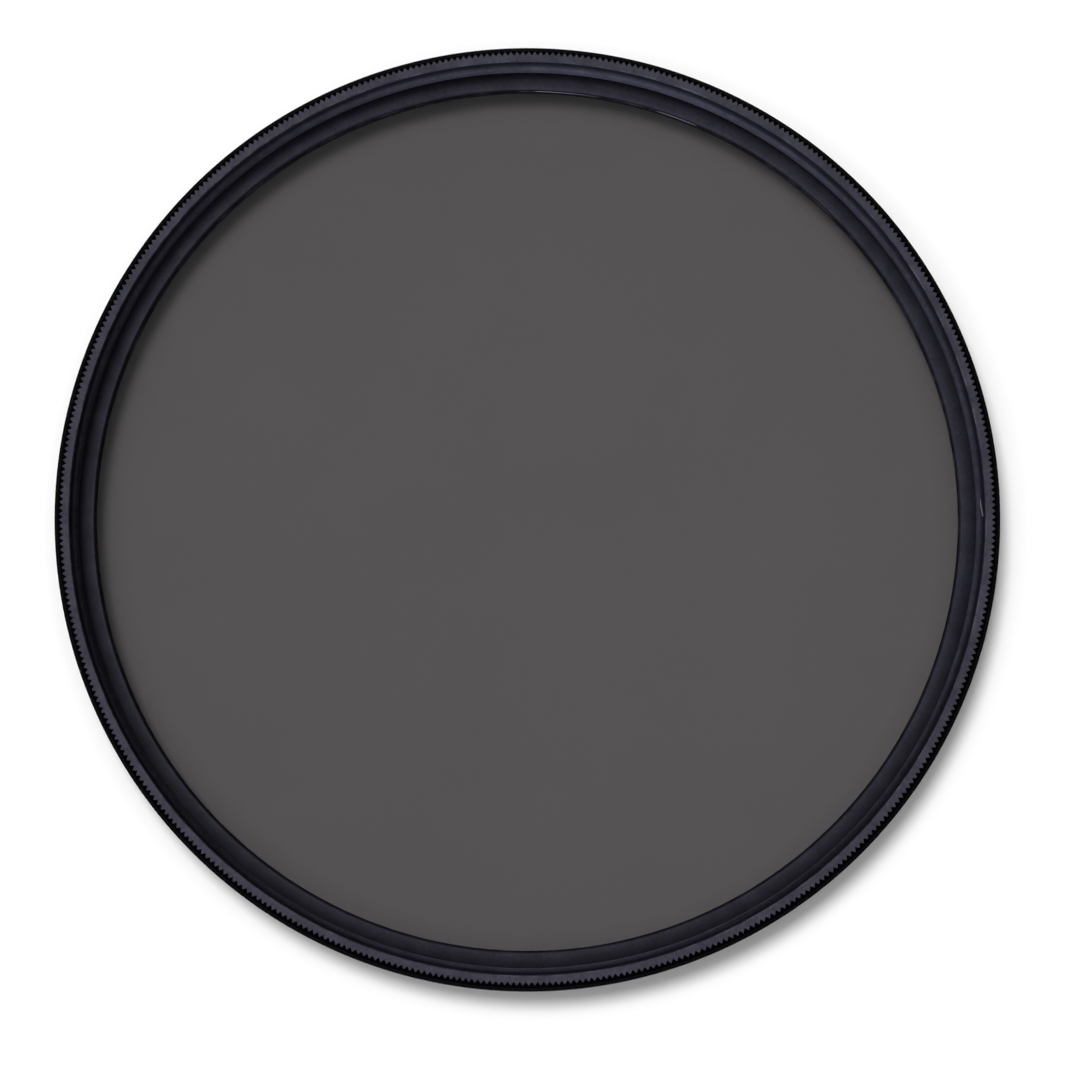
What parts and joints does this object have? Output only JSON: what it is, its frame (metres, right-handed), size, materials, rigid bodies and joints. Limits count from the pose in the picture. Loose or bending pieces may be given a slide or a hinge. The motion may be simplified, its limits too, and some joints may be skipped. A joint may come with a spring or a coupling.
{
  "type": "screw in lens filter",
  "caption": "Round screw-in lens filter: grey glass disc in a black ring with a knurled edge, a front filter thread and a rear filter thread.",
  "frame": {"origin": "on the filter's axis, at the end of the rear thread, which it lies on", "axes": "+Z along the filter's axis, out of the front thread; X and Y across it, with the retaining ring's spanner slots along X"},
  "size_m": [0.0802, 0.0802, 0.0076],
  "materials": {
    "anodised_ring": "black anodised, satin",
    "grey_glass": "polished neutral grey",
    "anodised_retainer": "black anodised, matt"
  },
  "bodies": {
    "root": {"filter_ring": "anodised_ring", "filter_glass": "grey_glass", "retaining_ring": "anodised_retainer"}
  },
  "joints": []
}
